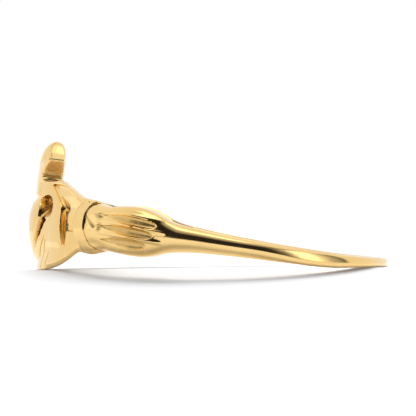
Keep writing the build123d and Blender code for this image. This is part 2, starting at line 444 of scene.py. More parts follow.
EDGE_ROLL_DROP = 0.06
HEART_LEVELS = (-3.1, -2.80, -2.72, -2.56, -2.41, -2.16, -1.68, -0.69, 0.15, 0.85, 1.20, 1.6)
HEART_RISES = (0.20, 0.56, 0.72, 0.93, 1.10, 1.31, 1.54, 1.81, 1.86, 1.74, 1.58, 1.58)


def hand_top(side, level):
    """Give the rise of the hand's back: a low dome, falling towards the fingertips."""
    side = np.abs(side)
    dome = HAND_RISE + HAND_DOME * (1 - ease(side, *HAND_DOME_SIDES))
    palm = dome - FINGER_FALL * ease(-level, *FINGER_DEPTHS)
    heart = smooth_interp(level, HEART_LEVELS, HEART_RISES)
    palm = lower_of(palm, heart - UNDER_HEART, UNDER_HEART_SOFTNESS)
    roll = np.clip(1 - line_distance(side, level, HAND_EDGE) / EDGE_ROLL_WIDTH, 0, 1)
    return palm - EDGE_ROLL_DROP * roll**2 - lower_bevel(side, level)


hands = carved_form("hand", HAND_LINE, hand_top, FOOT)
combine(hands, other_half(hands, "far_hand"), "UNION")
combine(ground, hands, "UNION")
both_sides(ground, NOOK_LINE, NOOK_FLOOR, ABOVE_ALL, "DIFFERENCE", "nook")
print("head with hands:", triangles(ground), "triangles")

# %% [markdown]
# ## The openings
# Between thumb, heart and crown the casting is pierced. Each opening is an oval cut right
# through, as a drill and a saw leave it. At its foot a small bar slopes from the heart to the
# hand. It is added after the cut, because it stands inside the oval.

# %% Openings
OPENING_MIDDLE = (2.42, 0.80)
OPENING_HALF = (0.92, 0.60)
OPENING_POINTS = 48
THROUGH = (-1.0, 3.0)
BAR_LINE = [(1.40, 0.12), (2.10, 0.14), (2.80, 0.12), (2.95, 0.38), (2.20, 0.50), (1.40, 0.66)]
BAR_FOOT = 0.5
BAR_RISE = 1.42
BAR_START = (1.6, 0.12)
BAR_SLOPES = (0.10, 1.2)


def bar_top(side, level):
    """Give the rise of the bar, which slopes inwards as it goes up."""
    across, up = np.abs(side) - BAR_START[0], level - BAR_START[1]
    return BAR_RISE - BAR_SLOPES[1] * up - BAR_SLOPES[0] * across


turn = np.linspace(0, 2 * math.pi, OPENING_POINTS, endpoint=False)
for sign in (1, -1):
    oval = np.column_stack([
        sign * (OPENING_MIDDLE[0] + OPENING_HALF[0] * np.cos(turn)),
        OPENING_MIDDLE[1] + OPENING_HALF[1] * np.sin(turn),
    ])
    combine(ground, outline_block("opening", oval, *THROUGH), "DIFFERENCE")
bar = carved_form("bar", BAR_LINE, bar_top, BAR_FOOT)
combine(ground, other_half(bar, "far_bar"), "UNION")
combine(ground, bar, "UNION")
print("pierced head:", triangles(ground), "triangles")

# %% [markdown]
# ## The heart
# The heart is puffed: it rises from steep walls to a dome, stands highest across its lobes and
# slopes down to a small tip. Half of its outline is drawn and mirrored, and its rise is read
# from a table by level, because that is what the side view shows best.

# %% Heart
HEART_ROUNDING = 0.095
HEART_LINE = [
    # side, level
    (0.0, 0.60), (0.35, 0.97), (0.92, 1.18), (1.45, 1.04), (1.74, 0.62), (1.80, 0.10),
    (1.64, -0.55), (1.24, -1.38), (0.72, -2.12), (0.30, -2.68), (0.0, -2.80),
]


def mirrored(near):
    """Complete the near half of an outline with its mirror image."""
    near = np.array(near, dtype=float)
    far = near[::-1] * np.array([-1, 1])
    return np.vstack([near, far[far[:, 0] < 0]])


def heart_top(side, level):
    """Give the rise of the heart's dome."""
    return smooth_interp(level, HEART_LEVELS, HEART_RISES) - HEART_ROUNDING * side**2


heart = carved_form("heart", mirrored(HEART_LINE), heart_top, FOOT)
combine(ground, heart, "UNION")
print("head with heart:", triangles(ground), "triangles")

# %% [markdown]
# ## The hems
# A raised ribbon runs round each wrist, bent like a C, where the sleeve ends. It stands highest
# in the middle, and its lower end tapers off under the sleeve. After it the head's upper and
# lower edges are trimmed to the drawn lines, so that all forms end in one clean edge.

# %% Hems
HEM_LINE = [
    # side, level
    (6.34, 1.75), (6.39, 1.32), (6.46, 0.90), (6.44, 0.43), (6.49, -0.03), (6.57, -0.47),
    (6.69, -0.91), (6.81, -1.22), (7.00, -1.55), (7.30, -1.80), (8.30, -1.75), (8.45, -1.45),
    (8.24, -1.38), (7.92, -1.22), (7.62, -1.00), (7.48, -0.63), (7.39, -0.19), (7.37, 0.26),
    (7.32, 0.61), (7.36, 0.97), (7.46, 1.26), (7.66, 1.70),
]
HEM_RISE = 1.58
HEM_FALL = 0.66
HEM_HALF_HEIGHT = 1.46
HEM_ROUNDING = 2.2
HEM_TAIL_DROP = 0.45
HEM_TAIL_SIDES = (7.5, 8.3)
HEM_TAIL_DEPTHS = (0.8, 1.1)


def hem_top(side, level):
    """Give the ribbon's rise: highest in the middle, falling towards both ends."""
    fall = HEM_FALL * np.clip(np.abs(level) / HEM_HALF_HEIGHT, 0, 1.2) ** HEM_ROUNDING
    tail = ease(np.abs(side), *HEM_TAIL_SIDES) * ease(-level, *HEM_TAIL_DEPTHS)
    return HEM_RISE - fall - HEM_TAIL_DROP * tail


hem = carved_form("hem", HEM_LINE, hem_top, FOOT, COARSE_STEP)
combine(ground, other_half(hem, "far_hem"), "UNION")
combine(ground, hem, "UNION")
trim(ground, UPPER_EDGE, TRIM_REACH)
trim(ground, LOWER_EDGE, -TRIM_REACH)
print("head with hems:", triangles(ground), "triangles")

# %% [markdown]
# ## The crown
# The crown is a block with three points and hollow sides, with a band at its foot. Its front is
# a low dome that runs on into the collar below. Its back is flat. At the top the front and the
# back meet in a round edge. Half of its outline is drawn and mirrored, with straight lines from
# corner to corner, because its points are crisp.

# %% Crown
CROWN_LINE = [
    # side, level
    (0.0, 1.30), (1.30, 1.30), (1.36, 2.05), (1.42, 2.40), (1.54, 2.75), (1.84, 3.04),
    (2.22, 3.32), (2.22, 3.50), (1.90, 3.49), (1.58, 3.31), (1.44, 3.27), (1.18, 3.43),
    (0.84, 3.72), (0.58, 4.00), (0.36, 4.24), (0.18, 4.39), (0.0, 4.44),
]
CROWN_BAND = [(0.0, 2.17), (1.58, 2.17), (1.64, 2.47), (0.0, 2.47)]
CROWN_LEVELS = (1.0, 2.30, 3.05, 3.43, 3.89, 4.15, 4.33, 4.44, 4.55)
CROWN_FRONT = (1.64, 1.65, 1.64, 1.59, 1.46, 1.30, 1.09, 0.86, 0.66)
CROWN_BACK = (0.24, 0.24, 0.24, 0.25, 0.28, 0.36, 0.50, 0.74, 0.90)
CROWN_RISES = (0.1, 2.0)
CROWN_SLAB_SIDES = (-2.6, 2.6)
CROWN_SLAB_LEVELS = (1.0, 4.7)
CROWN_SLAB_BOTTOM = -1.0
CROWN_ROUNDING = 0.045
DIP = 0.32
DIP_START = (0.0, 1.1)
DIP_END = (1.35, 1.6)
DIP_LEVELS = (2.9, 3.4)


def crown_front(side, level):
    """Give the rise of the front's dome, which dips between the points."""
    side = np.abs(side)
    dip = DIP * ease(side, *DIP_START) * (1 - ease(side, *DIP_END)) * ease(level, *DIP_LEVELS)
    return smooth_interp(level, CROWN_LEVELS, CROWN_FRONT) - CROWN_ROUNDING * side**2 - dip


def crown_back(side, level):
    """Give the rise of the flat back: straight across, although the head is bent later."""
    forward = BORE + np.interp(level, CROWN_LEVELS, CROWN_BACK)
    return forward / np.cos(side / WRAP_RADIUS) - BORE


def crown_slab(name, top, step, low):
    """Shape a slab as wide and as high as the crown."""
    return carved_slab(name, top, CROWN_SLAB_SIDES, CROWN_SLAB_LEVELS, step, low)


crown = outline_block("crown", mirrored(CROWN_LINE), *CROWN_RISES)
combine(crown, outline_block("crown_band", mirrored(CROWN_BAND), *CROWN_RISES), "UNION")
combine(crown, crown_slab("crown_front", crown_front, FINE_STEP, FOOT), "INTERSECT")
combine(crown, crown_slab("crown_back", crown_back, COARSE_STEP, CROWN_SLAB_BOTTOM), "DIFFERENCE")
combine(ground, crown, "UNION")
print("head with crown:", triangles(ground), "triangles")

# %% [markdown]
# ## Melting the forms together
# A casting has no knife edges: wax, metal and polish round them all. A voxel remesh turns the
# blocks into one even skin, and a few passes of smoothing round every edge and corner.

# %% One skin
VOXEL = 0.055
SKIN_SMOOTHING = 0.5
SKIN_PASSES = 4

head = ground
head.name = "ring_head"
apply_modifier(head, "REMESH", mode="VOXEL", voxel_size=VOXEL, adaptivity=0.0)
apply_modifier(head, "SMOOTH", factor=SKIN_SMOOTHING, iterations=SKIN_PASSES)
print("head's skin:", triangles(head), "triangles")

# %% [markdown]
# ## Bending the head round the finger
# The flat head is now bent: a distance along it becomes an angle round the finger, and a rise
# becomes a radius. Its inside is plain, so it needs far fewer faces than the front, and is
# thinned out.

# %% Bend
SKIN_CLEARANCE = 0.02
INSIDE_RISE = 0.15
THINNED_SHARE = 0.78


def bend(flat):
    """Wrap flat places round the finger."""
    angle = flat[:, 0] / WRAP_RADIUS
    radius = BORE + SKIN_CLEARANCE + flat[:, 2]
    return np.column_stack([-radius * np.cos(angle), -radius * np.sin(angle), flat[:, 1]])


flat = points_of(head)
inside = head.vertex_groups.new(name="inside")
inside.add(np.flatnonzero(flat[:, 2] < INSIDE_RISE).tolist(), 1.0, "REPLACE")
place_points(head, bend(flat))
apply_modifier(
    head, "DECIMATE", decimate_type="COLLAPSE", ratio=THINNED_SHARE, vertex_group=inside.name
)
print("head bent:", triangles(head), "triangles")

# %% [markdown]
# ## The band
# Shank and sleeves are one sweep round the finger: half round outside, smooth and flat inside.
# Its section changes by a table, from the puff at the wrist over the gathered sleeve to the
# slender back. The table has a row for each place where the side view changes: the angle from
# the middle of the head in degrees, half the section's height, its wall and its middle's level.

# %% Band table
BAND_COLUMNS = ("angle", "half_height", "wall", "middle")
BAND_ROWS = [
    (36.0, 1.30, 1.10, -0.06), (40.0, 1.36, 1.40, -0.06), (43.0, 1.38, 1.52, -0.08),
    (46.5, 1.32, 1.55, -0.07), (49.0, 1.235, 1.52, -0.035), (51.5, 1.225, 1.46, -0.013),
    (54.0, 1.27, 1.45, -0.01), (58.0, 1.33, 1.53, 0.0), (62.0, 1.365, 1.59, 0.005),
    (65.0, 1.345, 1.59, -0.01), (68.5, 1.22, 1.53, -0.045), (71.0, 1.08, 1.44, -0.057),
    (73.5, 0.915, 1.35, -0.07), (77.0, 0.785, 1.25, -0.084), (83.0, 0.665, 1.16, -0.091),
    (92.0, 0.558, 1.125, -0.142), (98.0, 0.512, 1.115, -0.174), (105.0, 0.477, 1.11, -0.205),
    (112.0, 0.444, 1.10, -0.242), (120.0, 0.425, 1.10, -0.263), (127.0, 0.405, 1.10, -0.280),
    (134.0, 0.375, 1.10, -0.265), (141.0, 0.325, 1.10, -0.212), (148.0, 0.288, 1.10, -0.158),
    (155.0, 0.262, 1.10, -0.110), (163.0, 0.245, 1.10, -0.063), (172.0, 0.235, 1.10, -0.032),
    (180.0, 0.230, 1.10, -0.022),
]
band_table = {name: [row[k] for row in BAND_ROWS] for k, name in enumerate(BAND_COLUMNS)}


def band_size(angle, name):
    """Read one column of the band's table at an angle."""
    return smooth_interp(angle, band_table["angle"], band_table[name])


print("band table:", len(BAND_ROWS), "rows from the wrist to the back")

# %% [markdown]
# ## The pleats and the puff
# The cloth of the sleeve is gathered in three leaf-shaped hollows, pointed at the wrist and
# round at the other end, with narrow ridges between them. Between the pleats and the hem the
# cloth bulges in two soft folds, with a dimple below. Each is a row of a table, and a function
# adds up what the rows do at a place. All angles are in degrees from the middle of the head.

# %% Pleats
PLEATS = [
    # start angle, end angle, level at the start and at the end, widest half width, depth
    (49.0, 70.6, 0.74, 0.43, 0.28, 0.15),
    (47.8, 70.0, 0.12, -0.14, 0.26, 0.15),
    (49.8, 67.8, -0.64, -0.73, 0.28, 0.15),
]
PLEAT_SWELL = (-0.05, 0.55)
PLEAT_ROUND = 0.70
CUT_WIDTH = 0.65
SCOOP_SHARES = (0.35, 0.65)
THINNEST = 1e-4
RIDGE_FULLNESS = 0.7
PLEAT_RIDGES = [
    # start angle, end angle, level at the start and at the end, half width, height
    (49.0, 73.0, 1.02, 0.78, 0.09, 0.05),
    (47.5, 74.0, 0.43, 0.11, 0.09, 0.09),
    (47.5, 73.5, -0.26, -0.46, 0.10, 0.09),
]
PUFF_FOLDS = [
    # angle, level, reach in degrees, reach in level, height
    (45.4, 0.76, 3.6, 0.42, 0.07),
    (44.8, -0.22, 3.4, 0.36, 0.07),
    (47.3, -0.92, 2.8, 0.20, -0.10),
]


def pleat_depth(angle, level):
    """Give how deep the sleeve is hollowed at an angle and level."""
    depth = np.zeros(angle.shape)
    for start, end, first, last, half, deepest in PLEATS:
        share = np.clip((angle - start) / (end - start), 0, 1)
        round_end = np.clip((share - PLEAT_ROUND) / (1 - PLEAT_ROUND), 0, 1)
        leaf = ease(share, *PLEAT_SWELL) * np.sqrt(1 - round_end**2)
        width = np.maximum(half * leaf, THINNEST)
        middle = first + (last - first) * share
        across = np.clip(np.abs(level - middle) / width, 0, 1)
        cut = np.clip((1 - across) / CUT_WIDTH, 0, 1)
        scoop = 1 - across**3
        bowl = cut + (scoop - cut) * ease(share, *SCOOP_SHARES)
        depth = np.maximum(depth, deepest * leaf**0.5 * bowl)
    return depth


def ridge_rise(angle, level):
    """Give how far the ridges between the pleats stand out."""
    rise = np.zeros(angle.shape)
    for start, end, first, last, half, height in PLEAT_RIDGES:
        share = np.clip((angle - start) / (end - start), 0, 1)
        line = first + (last - first) * share
        swell = np.sin(math.pi * share) ** RIDGE_FULLNESS
        rise += height * swell * np.exp(-((level - line) / half) ** 2)
    return rise


def puff_rise(angle, level):
    """Give how far the puff's folds stand out."""
    rise = np.zeros(angle.shape)
    for at, height, reach, spread, amount in PUFF_FOLDS:
        rise += amount * np.exp(-((angle - at) / reach) ** 2 - ((level - height) / spread) ** 2)
    return rise


print("sleeve:", len(PLEATS), "pleats and", len(PLEAT_RIDGES), "ridges")

# %% [markdown]
# ## The band's section
# Outside, a section is half round: fuller in the sleeve, where its flanks stand steeper, and
# fuller still at the back, where it leans a little. Inside it is flat with round corners. Both
# lines are worked out for all places of the band at once: `across` goes from 0 at the start of
# the line to 1 at its end, and the pleats, ridges and folds are worked in last.

# %% Section
SLEEVE_ANGLES = (50, 55)
SHANK_ANGLES = (70, 78)
BACK_ANGLES = (100, 125)
CUFF_DROP = 0.62
SHANK_DROP = 0.78
BACK_FLATTER = 0.9
ROUNDNESS = 0.9
SLEEVE_FULLER = 0.38
BACK_FULLER = 0.45
BACK_LEAN = 0.19
EDGE_STRETCH = 0.25
INNER_ROUNDING = 0.14


def outside_of(angle, across):
    """Give radius and level of the half round outside, from the lower edge upwards."""
    is_shank = ease(angle, *SHANK_ANGLES)
    is_sleeve = ease(angle, *SLEEVE_ANGLES) * (1 - is_shank)
    is_back = ease(angle, *BACK_ANGLES)
    half_height = band_size(angle, "half_height")
    crest = BORE + band_size(angle, "wall")
    drop = CUFF_DROP + (SHANK_DROP - CUFF_DROP) * (is_shank - BACK_FLATTER * is_back)
    edge = crest - drop * half_height
    from_middle = 2 * across - 1
    swing = np.arcsin((1 + EDGE_STRETCH) * from_middle - EDGE_STRETCH * from_middle**5)
    fullness = ROUNDNESS - SLEEVE_FULLER * is_sleeve - BACK_FULLER * is_back
    level = np.sin(swing) * half_height
    radius = edge + (crest - edge) * np.cos(swing) ** fullness
    radius -= BACK_LEAN * is_back * level
    level += band_size(angle, "middle")
    radius -= pleat_depth(angle, level)
    radius += puff_rise(angle, level) + ridge_rise(angle, level)
    return radius, level


def inside_of(angle, across):
    """Give radius and level of the flat inside, from the upper edge downwards."""
    half_height = band_size(angle, "half_height")
    level = half_height * (1 - 2 * across)
    corner = np.clip((INNER_ROUNDING - half_height + np.abs(level)) / INNER_ROUNDING, 0, 1)
    radius = BORE + SKIN_CLEARANCE + INNER_ROUNDING * (1 - np.sqrt(1 - corner**2))
    return radius, level + band_size(angle, "middle")


print("section: at the back it is", 2 * band_table["half_height"][-1], "mm high")

# %% [markdown]
# ## Rolling the band
# A long grid is rolled into a tube. Each column of its points becomes one section of the band,
# and most of the sections stand in the sleeves, where the pleats need them. Each row becomes one
# strand along it. The ends are capped and hide inside the head.

# %% Band sweep
BAND_SECTIONS = 352
OUTER_STRANDS = 92
INNER_STRANDS = 10
STRANDS = OUTER_STRANDS + INNER_STRANDS
START_ANGLE = BAND_ROWS[0][0]
SLEEVE_END = 78.0
SLEEVE_SHARE = 0.76
BACK_ANGLE = 180
WELD = 1e-4

clear_selection()
bpy.ops.mesh.primitive_grid_add(x_subdivisions=BAND_SECTIONS, y_subdivisions=STRANDS, size=1)
band = bpy.context.object
band.name = "ring_band"
place = points_of(band)
along = place[:, 0] * 2
share = 1 - np.abs(along)
angle = np.where(
    share < SLEEVE_SHARE,
    START_ANGLE + (SLEEVE_END - START_ANGLE) * share / SLEEVE_SHARE,
    SLEEVE_END + (BACK_ANGLE - SLEEVE_END) * (share - SLEEVE_SHARE) / (1 - SLEEVE_SHARE),
)
strand = np.rint((place[:, 1] + 0.5) * STRANDS)
outer_share = np.clip(strand / OUTER_STRANDS, 0, 1)
outer_share[strand == STRANDS] = 0
outer_radius, outer_level = outside_of(angle, outer_share)
inner_share = np.clip((strand - OUTER_STRANDS - 1) / (INNER_STRANDS - 2), 0, 1)
inner_radius, inner_level = inside_of(angle, inner_share)
is_inner = (strand > OUTER_STRANDS) & (strand < STRANDS)
radius = np.where(is_inner, inner_radius, outer_radius)
height = np.where(is_inner, inner_level, outer_level)
bearing = np.radians(np.where(along < 0, angle, -angle))
rolled = np.column_stack([-radius * np.cos(bearing), -radius * np.sin(bearing), height])
place_points(band, rolled)
activate(band)
bpy.ops.object.mode_set(mode="EDIT")
bpy.ops.mesh.select_all(action="SELECT")
bpy.ops.mesh.remove_doubles(threshold=WELD)
bpy.ops.mesh.select_all(action="SELECT")
bpy.ops.mesh.fill_holes(sides=0)
turn_faces_out(band)
print("band:", triangles(band), "triangles")

# %% [markdown]
# ## One casting
# Head and band are fused, so the ring is one closed body, as it leaves the mould.

# %% Fuse
ring = combine(head, band, "UNION")
ring.name = "gold_claddagh_ring"
print("fused:", triangles(ring), "triangles")

# %% [markdown]
# ## Fine creases
# Fine creases are pressed in along drawn lines: three part the fingers of each hand, three run
# along the hem, and one parts the two folds of the puff. So fine a groove would be lost in the
# melting of the forms, so they come after it, as a goldsmith cuts them into the finished casting.

# %% Creases
CREASES = [
    # places along the line, depth, half width
    ([(2.50, -0.88), (2.22, -1.35), (1.95, -1.75), (1.80, -2.00)], 0.09, 0.11),
    ([(2.74, -1.08), (2.55, -1.70), (2.32, -2.20), (2.15, -2.62)], 0.09, 0.11),
    ([(3.34, -1.78), (3.18, -2.10), (3.00, -2.52)], 0.08, 0.11),
    ([(6.74, 1.30), (6.62, 1.09), (6.56, 0.84), (6.55, 0.61), (6.55, 0.38)], 0.04, 0.08),
    ([(6.38, 1.28), (6.44, 0.90), (6.42, 0.43), (6.47, -0.03), (6.55, -0.47), (6.67, -0.91),
      (6.80, -1.24), (6.98, -1.50)], 0.05, 0.09),
    ([(7.60, 1.50), (7.47, 1.26), (7.37, 0.97), (7.34, 0.61), (7.38, 0.26), (7.41, -0.19),
      (7.50, -0.63), (7.64, -0.99), (7.93, -1.19), (8.30, -1.30)], 0.06, 0.10),
    ([(7.40, 0.50), (7.65, 0.34), (7.90, 0.16), (8.12, 0.02)], 0.05, 0.14),
]
OUTSIDE_RISES = (0.4, 0.7)


def round_the_finger(points):
    """Read upright places as side, level and rise, both halves alike."""
    angle = np.arctan2(np.abs(points[:, 1]), -points[:, 0])
    return angle * WRAP_RADIUS, points[:, 2], np.hypot(points[:, 0], points[:, 1]) - BORE


upright = points_of(ring)
side, level, rise = round_the_finger(upright)
pressed = np.zeros(len(upright))
for line, depth, half_width in CREASES:
    away = line_distance(side, level, smooth_line(line, False))
    pressed = np.maximum(pressed, depth * (1 - ease(away, 0.0, half_width)))
pressed *= ease(rise, *OUTSIDE_RISES)
upright[:, :2] *= ((BORE + rise - pressed) / (BORE + rise))[:, None]
print("creases:", len(CREASES), "on each half,", int((pressed > 0).sum()), "points pressed")

# %% [markdown]
# ## Laying the ring down
# The ring rests on its side, on the lower edge of the head and on the back of the shank. So it
# is leaned by its resting tilt, moved to the finger hole's middle and scaled to metres.

# %% Lay down
SMOOTH_BELOW = math.radians(50)

cosine, sine = math.cos(REST_TILT), math.sin(REST_TILT)
laid = np.column_stack([
    upright[:, 0] * cosine + upright[:, 2] * sine,
    upright[:, 1],
    upright[:, 2] * cosine - upright[:, 0] * sine,
])
place_points(ring, laid * MM + HOLE_CENTRE)
activate(ring)
bpy.ops.object.shade_smooth_by_angle(angle=SMOOTH_BELOW)

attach(ring, "root")
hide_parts("claddagh_ring")
print("ring:", triangles(ring), "triangles")

# %% [markdown]
# ## Where polish does not reach, and painted shade
# A polishing wheel reaches the high places, and leaves the hollows satin. Shade is painted into
# the gold's colour as a darker tone. Two marks are stored on the ring's points for the gold's
# material. The first says how much shade is painted: most in sharp creases, less in pleats,
# openings and slots. The second, deep, says how satin it is: in pleats, openings and slots,
# and most at the crown's side walls.

# %% Hollows
EVEN_PASSES = 2
SHORTEST = 1e-4


def hollowness(piece):
    """Measure how sharply the surface bends inwards at each point, per millimetre."""
    count = len(piece.data.vertices)
    ends = np.empty(len(piece.data.edges) * 2, dtype=np.int64)
    piece.data.edges.foreach_get("vertices", ends)
    ends = ends.reshape(-1, 2)
    normals = np.empty(count * 3, dtype=np.float32)
    piece.data.vertex_normals.foreach_get("vector", normals)
    normals = normals.reshape(-1, 3)
    place = points_of(piece) / MM
    span = place[ends[:, 1]] - place[ends[:, 0]]
    length = np.maximum((span**2).sum(axis=1), SHORTEST)
    bend_at = np.zeros(count)
    shares = np.bincount(ends.ravel(), minlength=count)
    for column, sign in ((0, 1), (1, -1)):
        lift = sign * (span * normals[ends[:, column]]).sum(axis=1) / length
        bend_at += np.bincount(ends[:, column], weights=lift, minlength=count)
    bend_at /= np.maximum(shares, 1)
    for _ in range(EVEN_PASSES):
        spread = np.bincount(ends[:, 0], weights=bend_at[ends[:, 1]], minlength=count)
        spread += np.bincount(ends[:, 1], weights=bend_at[ends[:, 0]], minlength=count)
        bend_at = (bend_at + spread / np.maximum(shares, 1)) / 2
    return bend_at


bends = hollowness(ring)
print("sharpest hollow:", round(float(bends.max()), 1), "per millimetre")

# %% [markdown]
# The places that lie deep are found by their side, level, rise and angle. Each test is soft:
# `ease` is 0 under its pair of values and 1 over it, `below` is the other way round, and
# `between` joins the two.

# %% Deep places
PLEAT_DEPTHS = (0.07, 0.13)
PLEAT_RISES = (0.9, 1.0)
OPENING_EDGE = (1.05, 1.3)
OPENING_TOP = (1.15, 1.35)
SLOT_RISES = ((0.5, 0.6), (0.71, 0.76))
SLOT_LEVELS = ((-1.5, -1.4), (0.5, 0.8))
SLOT_END = (31.0, 33.5)
CROWN_WALL_SIDES = (1.25, 1.35)
CROWN_WALL_BEHIND = (0.04, 0.12)
CROWN_WALL_LEVELS = ((2.45, 2.55), (3.25, 3.40))
CROWN_CREASE_LEVELS = (3.2, 3.3)
CROWN_CREASE_SIDES = ((0.1, 0.3), (1.5, 1.7))
CROWN_CREASE_BEHIND = 0.10
CROWN_CREASE_WIDTH = (0.01, 0.04)


def below(values, start, end):
    """Mark what is below a pair of values."""
    return 1 - ease(values, start, end)


def between(values, lower, upper):
    """Mark what is above one pair of values and below another."""
    return ease(values, *lower) * below(values, *upper)


angle = np.degrees(side / WRAP_RADIUS)
across_oval = (side - OPENING_MIDDLE[0]) / OPENING_HALF[0]
up_oval = (level - OPENING_MIDDLE[1]) / OPENING_HALF[1]
behind_front = crown_front(side, level) - rise

in_pleat = ease(pleat_depth(angle, level), *PLEAT_DEPTHS) * ease(rise, *PLEAT_RISES)
in_opening = below(np.hypot(across_oval, up_oval), *OPENING_EDGE) * below(rise, *OPENING_TOP)
in_slot = between(rise, *SLOT_RISES) * between(level, *SLOT_LEVELS) * below(angle, *SLOT_END)
on_crown_wall = ease(side, *CROWN_WALL_SIDES) * between(level, *CROWN_WALL_LEVELS)
on_crown_wall *= ease(behind_front, *CROWN_WALL_BEHIND)
# A thin line on the crown's upper part is marked for a painted dark line of shade.
in_crown_crease = ease(level, *CROWN_CREASE_LEVELS) * between(side, *CROWN_CREASE_SIDES)
in_crown_crease *= below(np.abs(behind_front - CROWN_CREASE_BEHIND), *CROWN_CREASE_WIDTH)
print("points in pleats:", int((in_pleat > 0.5).sum()), "and in slots:", int((in_slot > 0.5).sum()))

# %% [markdown]
# Both marks are put together from these places and stored on the points of the ring.

# %% Marks
CREASE_BENDS = (1.5, 7.0)
PRESSED_DEPTHS = (0.02, 0.05)
# Shares of painted shade, a darker tone put where shade falls: along pressed lines and the crown's
# line, and in hollows.
LINE_SHADE = 0.8
HOLLOW_SHADE = 0.45
CROWN_SATIN = 2.0

hollows = np.maximum.reduce([in_pleat, in_opening, in_slot])
lines = np.maximum(ease(pressed, *PRESSED_DEPTHS), in_crown_crease)
shade_shares = [ease(bends, *CREASE_BENDS), LINE_SHADE * lines, HOLLOW_SHADE * hollows]
# The first mark is painted shade: darkest in sharp creases and pressed lines, lighter in pleats,
# openings and slots.
crease = np.maximum.reduce(shade_shares)
deep = np.maximum(hollows, CROWN_SATIN * on_crown_wall)
for name, values in (("crease", crease), ("deep", deep)):
    mark = ring.data.attributes.new(name, "FLOAT", "POINT")
    mark.data.foreach_set("value", values.astype(np.float32))
print("points in creases:", int((crease > 0.5).sum()), "and deep:", int((deep > 0.5).sum()))

# %% [markdown]
# ## Gold
# Polished gold is a plain metal with a strong colour. A real piece is never perfect: tumbling
# and wear leave faint unevenness in its tone, its gloss and its surface, so all three vary a
# little. The marks of the last step paint shade into the creases and hollows as a darker tone,
# and make the hollows satin, with the fine pits of the casting's skin. All patterns are fixed to
# the ring's own coordinates.

# %% Gold material
GOLD_TONES = ((0.35, (0.86, 0.585, 0.225, 1)), (0.70, (0.92, 0.650, 0.275, 1)))
# The dark tone of the painted shade in creases and hollows.
PAINTED_SHADE_TONE = (0.45, 0.27, 0.07, 1)
POLISHED = {"To Min": 0.08, "To Max": 0.16}
SATIN_ROUGHNESS = 0.22
CLOUDS = {"Scale": 420.0, "Detail": 4.0}
GRAIN = {"Scale": 2600.0, "Detail": 3.0}
GRAIN_BUMPS = {"Strength": 0.25, "Distance": 0.00001}
PITS = {"Scale": 7000.0, "Detail": 3.0}
PIT_BUMPS = {"Strength": 0.6, "Distance": 0.00003}
MIX_FIRST, MIX_SECOND, MIX_RESULT = 6, 7, 2


def add_node(tree, kind, inputs, **settings):
    """Add a shading node. Its inputs are values to set or sockets to link."""
    node = tree.nodes.new(kind)
    for name, value in settings.items():
        setattr(node, name, value)
    for name, value in inputs.items():
        if isinstance(value, bpy.types.NodeSocket):
            tree.links.new(value, node.inputs[name])
        else:
            node.inputs[name].default_value = value
    return node


def arithmetic(tree, operation, *values):
    """Add one step of arithmetic."""
    return add_node(tree, "ShaderNodeMath", dict(enumerate(values)), operation=operation).outputs[0]


gold = bpy.data.materials.new("polished_yellow_gold")
gold.use_nodes = True
tree = gold.node_tree
where = add_node(tree, "ShaderNodeTexCoord", {}).outputs["Object"]
clouds, grain, pits = (
    add_node(tree, "ShaderNodeTexNoise", {"Vector": where, **pattern}).outputs["Fac"]
    for pattern in (CLOUDS, GRAIN, PITS)
)
painted_shade_mark, deep_mark = (
    add_node(tree, "ShaderNodeAttribute", {}, attribute_name=name).outputs["Fac"]
    for name in ("crease", "deep")
)

tone = add_node(tree, "ShaderNodeValToRGB", {"Fac": clouds})
for stop, (position, colour) in zip(tone.color_ramp.elements, GOLD_TONES):
    stop.position = position
    stop.color = colour
# Painted shade: the gold's tone is mixed towards the dark tone by the first mark.
shaded_tone = add_node(
    tree, "ShaderNodeMix",
    {"Factor": painted_shade_mark, MIX_FIRST: tone.outputs["Color"], MIX_SECOND: PAINTED_SHADE_TONE},
    data_type="RGBA",
)
gloss = add_node(tree, "ShaderNodeMapRange", {"Value": clouds, **POLISHED}).outputs["Result"]
fine = add_node(tree, "ShaderNodeBump", {"Height": grain, **GRAIN_BUMPS}).outputs["Normal"]
deep_pits = arithmetic(tree, "MULTIPLY", pits, deep_mark)
pitted = add_node(tree, "ShaderNodeBump", {"Height": deep_pits, "Normal": fine, **PIT_BUMPS})

shader = tree.nodes["Principled BSDF"]
shader.inputs["Metallic"].default_value = 1.0
tree.links.new(shaded_tone.outputs[MIX_RESULT], shader.inputs["Base Color"])
satin = arithmetic(tree, "MULTIPLY_ADD", deep_mark, SATIN_ROUGHNESS, gloss)
tree.links.new(satin, shader.inputs["Roughness"])
tree.links.new(pitted.outputs["Normal"], shader.inputs["Normal"])
ring.data.materials.clear()
ring.data.materials.append(gold)
print("material:", gold.name)

# %% [markdown]
# ## Light
# Jewellery is photographed in a white tent: nearly everything that the gold reflects is white.
# The exceptions draw its shape. A dark gap in front, where the camera looks in, gives the black
# lines. Above the gap the tent's front brightens to a lamp, and a second lamp stands at its
# right, beside a narrow dark slit. The tent is painted on the world as strengths by direction:
# one ramp goes round it, the other up its front.

